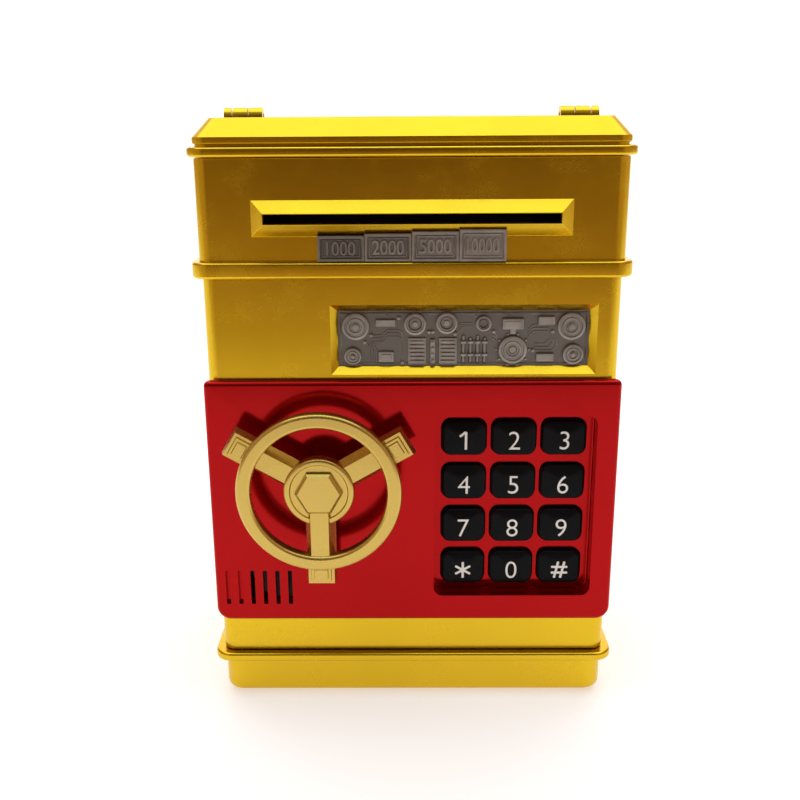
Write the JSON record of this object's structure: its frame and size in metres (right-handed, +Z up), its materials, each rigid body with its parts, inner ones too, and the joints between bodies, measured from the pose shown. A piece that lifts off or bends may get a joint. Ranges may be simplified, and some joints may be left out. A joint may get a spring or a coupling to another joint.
{
  "type": "toy safe coin bank",
  "caption": "Toy safe money box with a note slot, coin slot, keypad door, handwheel that drives a sliding bolt, carry handle and battery box.",
  "frame": {"origin": "on the plane that the feet stand on, at the middle of the overall width and depth", "axes": "+Z up, the door faces -Y, +X to the right of someone facing the door"},
  "size_m": [0.134, 0.1204, 0.1935],
  "materials": {
    "base_tray": "glossy gold-coloured moulding",
    "battery_box": "matt black moulding",
    "battery_cover": "glossy gold-coloured moulding",
    "body_shell": "glossy gold-coloured moulding",
    "cap": "glossy gold-coloured moulding",
    "case_screw_1": "zinc-plated steel",
    "case_screw_2": "zinc-plated steel",
    "case_screw_3": "zinc-plated steel",
    "case_screw_4": "zinc-plated steel",
    "cell_1": "wrapped steel can",
    "cell_2": "wrapped steel can",
    "cell_3": "wrapped steel can",
    "coin_chute": "matt black moulding",
    "door_back": "matt black moulding",
    "door_screw_1": "zinc-plated steel",
    "door_screw_2": "zinc-plated steel",
    "door_shell": "glossy red moulding",
    "drive_gear": "white nylon",
    "drive_shaft": "ground steel rod",
    "drive_tyre": "soft black rubber",
    "feed_motor": "zinc-plated can",
    "foot_1": "black rubber",
    "foot_2": "black rubber",
    "foot_3": "black rubber",
    "foot_4": "black rubber",
    "handle": "glossy gold-coloured moulding",
    "handle_pin_left": "bright steel",
    "handle_pin_right": "bright steel",
    "handwheel": "glossy gold-coloured moulding",
    "head_shell": "glossy gold-coloured moulding",
    "hinge_pin_1": "bright steel",
    "hinge_pin_2": "bright steel",
    "keeper_plate": "plated steel strip",
    "key_0": "glossy black key with a white numeral",
    "key_1": "glossy black key with a white numeral",
    "key_2": "glossy black key with a white numeral",
    "key_3": "glossy black key with a white numeral",
    "key_4": "glossy black key with a white numeral",
    "key_5": "glossy black key with a white numeral",
    "key_6": "glossy black key with a white numeral",
    "key_7": "glossy black key with a white numeral",
    "key_8": "glossy black key with a white numeral",
    "key_9": "glossy black key with a white numeral",
    "key_board": "green circuit board",
    "key_hash": "glossy black key with a white numeral",
    "key_mat": "grey silicone",
    "key_star": "glossy black key with a white numeral",
    "lock_bolt": "bright steel",
    "lock_pin": "bright steel",
    "motor_pinion": "white nylon",
    "note_chute": "matt black sheet",
    "note_tiles": "dark silver moulding with raised borders and numerals",
    "pinch_roller": "matt grey moulding",
    "relief_plate": "dark silver moulding with raised dials and pipes",
    "roller_frame": "matt grey moulding",
    "solenoid": "plated yoke round a coil",
    "speaker": "pressed steel basket with a paper cone",
    "vault_floor": "matt black sheet",
    "wheel_shaft": "white nylon"
  },
  "bodies": {
    "housing": {"base_tray": "base_tray", "body_shell": "body_shell", "vault_floor": "vault_floor", "head_shell": "head_shell", "cap": "cap", "note_tiles": "note_tiles", "relief_plate": "relief_plate", "roller_frame": "roller_frame", "note_chute": "note_chute", "feed_motor": "feed_motor", "coin_chute": "coin_chute", "battery_box": "battery_box", "cell_1": "cell_1", "cell_2": "cell_2", "cell_3": "cell_3", "foot_1": "foot_1", "foot_2": "foot_2", "foot_3": "foot_3", "foot_4": "foot_4", "hinge_pin_1": "hinge_pin_1", "hinge_pin_2": "hinge_pin_2", "handle_pin_left": "handle_pin_left", "handle_pin_right": "handle_pin_right", "keeper_plate": "keeper_plate", "case_screw_1": "case_screw_1", "case_screw_2": "case_screw_2", "case_screw_3": "case_screw_3", "case_screw_4": "case_screw_4"},
    "door": {"door_shell": "door_shell", "door_back": "door_back", "key_mat": "key_mat", "key_board": "key_board", "speaker": "speaker", "solenoid": "solenoid", "door_screw_1": "door_screw_1", "door_screw_2": "door_screw_2"},
    "wheel": {"handwheel": "handwheel", "wheel_shaft": "wheel_shaft"},
    "bolt": {"lock_bolt": "lock_bolt"},
    "latch_pin": {"lock_pin": "lock_pin"},
    "carry_handle": {"handle": "handle"},
    "drive_roller": {"drive_shaft": "drive_shaft", "drive_tyre": "drive_tyre", "drive_gear": "drive_gear"},
    "idle_roller": {"pinch_roller": "pinch_roller"},
    "motor_gear": {"motor_pinion": "motor_pinion"},
    "rear_cover": {"battery_cover": "battery_cover"},
    "button_1": {"key_1": "key_1"},
    "button_2": {"key_2": "key_2"},
    "button_3": {"key_3": "key_3"},
    "button_4": {"key_4": "key_4"},
    "button_5": {"key_5": "key_5"},
    "button_6": {"key_6": "key_6"},
    "button_7": {"key_7": "key_7"},
    "button_8": {"key_8": "key_8"},
    "button_9": {"key_9": "key_9"},
    "button_star": {"key_star": "key_star"},
    "button_0": {"key_0": "key_0"},
    "button_hash": {"key_hash": "key_hash"}
  },
  "joints": [
    {"name": "door_hinge", "type": "hinge", "parent": "housing", "child": "door", "pos_m": [0.0622, -0.0406, 0.0298], "axis": [0, 0, 1], "range_deg": [0, 100]},
    {"name": "wheel_turn", "type": "hinge", "parent": "door", "child": "wheel", "pos_m": [-0.0288, -0.0602, 0.08], "axis": [0, 1, 0], "range_deg": [0, 90]},
    {"name": "bolt_slide", "type": "slide", "parent": "door", "child": "bolt", "axis": [-1, 0, 0], "range_m": [0, 0.006]},
    {"name": "lock_pin_slide", "type": "slide", "parent": "door", "child": "latch_pin", "axis": [0, 0, 1], "range_m": [0, 0.003]},
    {"name": "key_1_press", "type": "slide", "parent": "door", "child": "button_1", "axis": [0, 1, 0], "range_m": [0, 0.0012], "stiffness_N_per_m": 300},
    {"name": "key_2_press", "type": "slide", "parent": "door", "child": "button_2", "axis": [0, 1, 0], "range_m": [0, 0.0012], "stiffness_N_per_m": 300},
    {"name": "key_3_press", "type": "slide", "parent": "door", "child": "button_3", "axis": [0, 1, 0], "range_m": [0, 0.0012], "stiffness_N_per_m": 300},
    {"name": "key_4_press", "type": "slide", "parent": "door", "child": "button_4", "axis": [0, 1, 0], "range_m": [0, 0.0012], "stiffness_N_per_m": 300},
    {"name": "key_5_press", "type": "slide", "parent": "door", "child": "button_5", "axis": [0, 1, 0], "range_m": [0, 0.0012], "stiffness_N_per_m": 300},
    {"name": "key_6_press", "type": "slide", "parent": "door", "child": "button_6", "axis": [0, 1, 0], "range_m": [0, 0.0012], "stiffness_N_per_m": 300},
    {"name": "key_7_press", "type": "slide", "parent": "door", "child": "button_7", "axis": [0, 1, 0], "range_m": [0, 0.0012], "stiffness_N_per_m": 300},
    {"name": "key_8_press", "type": "slide", "parent": "door", "child": "button_8", "axis": [0, 1, 0], "range_m": [0, 0.0012], "stiffness_N_per_m": 300},
    {"name": "key_9_press", "type": "slide", "parent": "door", "child": "button_9", "axis": [0, 1, 0], "range_m": [0, 0.0012], "stiffness_N_per_m": 300},
    {"name": "key_star_press", "type": "slide", "parent": "door", "child": "button_star", "axis": [0, 1, 0], "range_m": [0, 0.0012], "stiffness_N_per_m": 300},
    {"name": "key_0_press", "type": "slide", "parent": "door", "child": "button_0", "axis": [0, 1, 0], "range_m": [0, 0.0012], "stiffness_N_per_m": 300},
    {"name": "key_hash_press", "type": "slide", "parent": "door", "child": "button_hash", "axis": [0, 1, 0], "range_m": [0, 0.0012], "stiffness_N_per_m": 300},
    {"name": "handle_fold", "type": "hinge", "parent": "housing", "child": "carry_handle", "pos_m": [0, -0.0132, 0.1905], "axis": [1, 0, 0], "range_deg": [0, 90]},
    {"name": "battery_cover_tip", "type": "hinge", "parent": "housing", "child": "rear_cover", "pos_m": [0, 0.0584, 0.0341], "axis": [-1, 0, 0], "range_deg": [0, 80]},
    {"name": "drive_roller_turn", "type": "hinge", "parent": "housing", "child": "drive_roller", "pos_m": [0, -0.0292, 0.1561], "axis": [1, 0, 0], "continuous": true},
    {"name": "pinch_roller_turn", "type": "hinge", "parent": "housing", "child": "idle_roller", "pos_m": [0, -0.0292, 0.1671], "axis": [1, 0, 0], "continuous": true},
    {"name": "motor_pinion_turn", "type": "hinge", "parent": "housing", "child": "motor_gear", "pos_m": [0, -0.02195, 0.14354], "axis": [1, 0, 0], "continuous": true}
  ],
  "couplings": [
    {"joint": "bolt_slide", "follows": "wheel_turn", "m_per_rad": 0.0038197},
    {"joint": "pinch_roller_turn", "follows": "drive_roller_turn", "ratio": -1},
    {"joint": "motor_pinion_turn", "follows": "drive_roller_turn", "ratio": -3}
  ]
}
